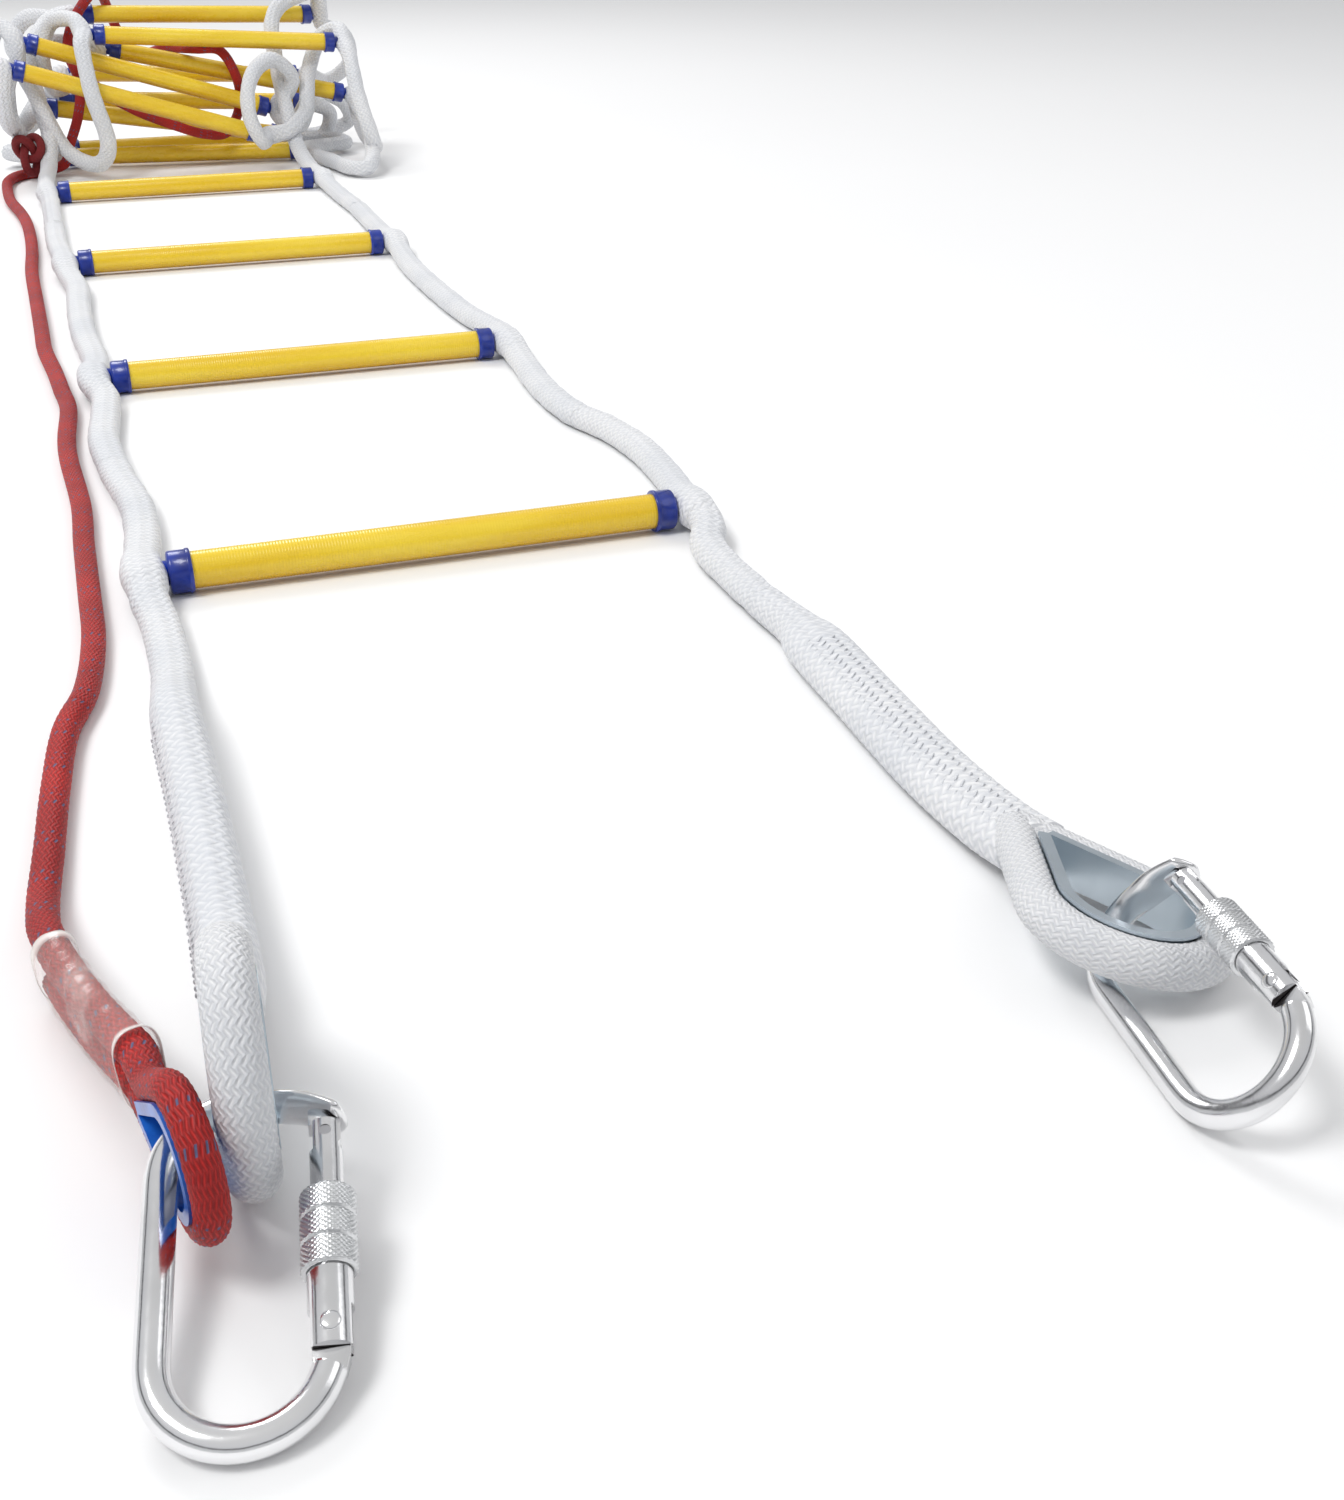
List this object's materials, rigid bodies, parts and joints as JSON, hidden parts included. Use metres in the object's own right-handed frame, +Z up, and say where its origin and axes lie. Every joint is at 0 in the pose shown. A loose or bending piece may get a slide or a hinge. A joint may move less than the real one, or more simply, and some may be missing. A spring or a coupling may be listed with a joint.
{
  "type": "escape rope ladder",
  "caption": "Escape rope ladder laid out: tubular rungs in two braided side ropes, a roll of further rungs, a red safety rope, and screw-gate hooks on sewn eyes.",
  "frame": {"origin": "on the floor, under the middle of the whole laid-out ladder", "axes": "+Y along the ladder from the hooks to the roll, +X towards the right side rope, +Z up"},
  "size_m": [0.4397, 1.9372, 0.1847],
  "materials": {
    "rung_plastic": "gloss",
    "cap_plastic": "gloss",
    "white_rope": "braided",
    "red_rope": "braided",
    "galvanised": "galvanised",
    "zinc_steel": "polished",
    "pin_steel": "satin",
    "sleeve_steel": "knurled",
    "thimble_plastic": "gloss",
    "clear_film": "clear"
  },
  "bodies": {
    "roll": {"rung_4": "rung_plastic", "rung_5": "rung_plastic", "rung_6": "rung_plastic", "rung_7": "rung_plastic", "rung_8": "rung_plastic", "rung_9": "rung_plastic", "rung_10": "rung_plastic", "rung_11": "rung_plastic", "rung_12": "rung_plastic", "rung_13": "rung_plastic", "rung_14": "rung_plastic", "caps_4": "cap_plastic", "roll_caps": "cap_plastic", "left_roll_rope": "white_rope", "right_roll_rope": "white_rope", "red_roll_rope": "red_rope"},
    "bay_3": {"rung_3": "rung_plastic", "caps_3": "cap_plastic", "left_rope_3": "white_rope", "right_rope_3": "white_rope", "red_rope_3": "red_rope"},
    "bay_2": {"rung_2": "rung_plastic", "caps_2": "cap_plastic", "left_rope_2": "white_rope", "right_rope_2": "white_rope", "red_rope_2": "red_rope"},
    "bay_1": {"rung_1": "rung_plastic", "caps_1": "cap_plastic", "left_rope_1": "white_rope", "right_rope_1": "white_rope", "red_rope_1": "red_rope"},
    "left_tail": {"left_tail_rope": "white_rope", "left_thimble": "galvanised", "red_tail_rope": "red_rope", "red_thimble": "thimble_plastic", "clear_sleeve": "clear_film"},
    "right_tail": {"right_tail_rope": "white_rope", "right_thimble": "galvanised"},
    "left_hook": {"left_hook": "zinc_steel", "left_hook_rivet": "pin_steel"},
    "left_gate": {"left_gate": "zinc_steel", "left_gate_pin": "pin_steel", "left_gate_spring": "pin_steel"},
    "left_sleeve": {"left_sleeve": "sleeve_steel"},
    "right_hook": {"right_hook": "zinc_steel", "right_hook_rivet": "pin_steel"},
    "right_gate": {"right_gate": "zinc_steel", "right_gate_pin": "pin_steel", "right_gate_spring": "pin_steel"},
    "right_sleeve": {"right_sleeve": "sleeve_steel"}
  },
  "joints": [
    {"name": "fold_4", "type": "hinge", "parent": "roll", "child": "bay_3", "pos_m": [-0.0208, 0.63, 0.01075], "axis": [-1, 0, 0], "range_deg": [-85, 85]},
    {"name": "fold_3", "type": "hinge", "parent": "bay_3", "child": "bay_2", "pos_m": [-0.0208, 0.275, 0.01075], "axis": [1, 0, 0], "range_deg": [-85, 85]},
    {"name": "fold_2", "type": "hinge", "parent": "bay_2", "child": "bay_1", "pos_m": [-0.0208, -0.095, 0.01075], "axis": [-1, 0, 0], "range_deg": [-85, 85]},
    {"name": "left_tail_fold", "type": "hinge", "parent": "bay_1", "child": "left_tail", "pos_m": [-0.0208, -0.455, 0.01075], "axis": [1, 0, 0], "range_deg": [-85, 85]},
    {"name": "right_tail_fold", "type": "hinge", "parent": "bay_1", "child": "right_tail", "pos_m": [-0.0208, -0.455, 0.01075], "axis": [1, 0, 0], "range_deg": [-85, 85]},
    {"name": "left_hook_swing", "type": "hinge", "parent": "left_tail", "child": "left_hook", "pos_m": [-0.1758, -0.8782, 0.0268], "axis": [-1, 0, 0], "range_deg": [0, 30]},
    {"name": "left_gate_hinge", "type": "hinge", "parent": "left_hook", "child": "left_gate", "pos_m": [-0.15945, -0.94448, 0.00975], "axis": [0.0088, 0.2508, -0.968], "range_deg": [-4.5, 0], "stiffness_Nm_per_rad": 0.5},
    {"name": "left_sleeve_slide", "type": "slide", "parent": "left_gate", "child": "left_sleeve", "axis": [-0.1682, -0.9539, -0.2487], "range_m": [-0.012, 0]},
    {"name": "right_hook_swing", "type": "hinge", "parent": "right_tail", "child": "right_hook", "pos_m": [0.0992, -0.8984, 0.0159], "axis": [-1, 0, 0], "range_deg": [0, 55]},
    {"name": "right_gate_hinge", "type": "hinge", "parent": "right_hook", "child": "right_gate", "pos_m": [0.10585, -0.93742, 0.03457], "axis": [0.7453, -0.1114, -0.6574], "range_deg": [-5, 0], "stiffness_Nm_per_rad": 0.5},
    {"name": "right_sleeve_slide", "type": "slide", "parent": "right_gate", "child": "right_sleeve", "axis": [-0.1478, -0.989, 0], "range_m": [-0.012, 0]}
  ]
}
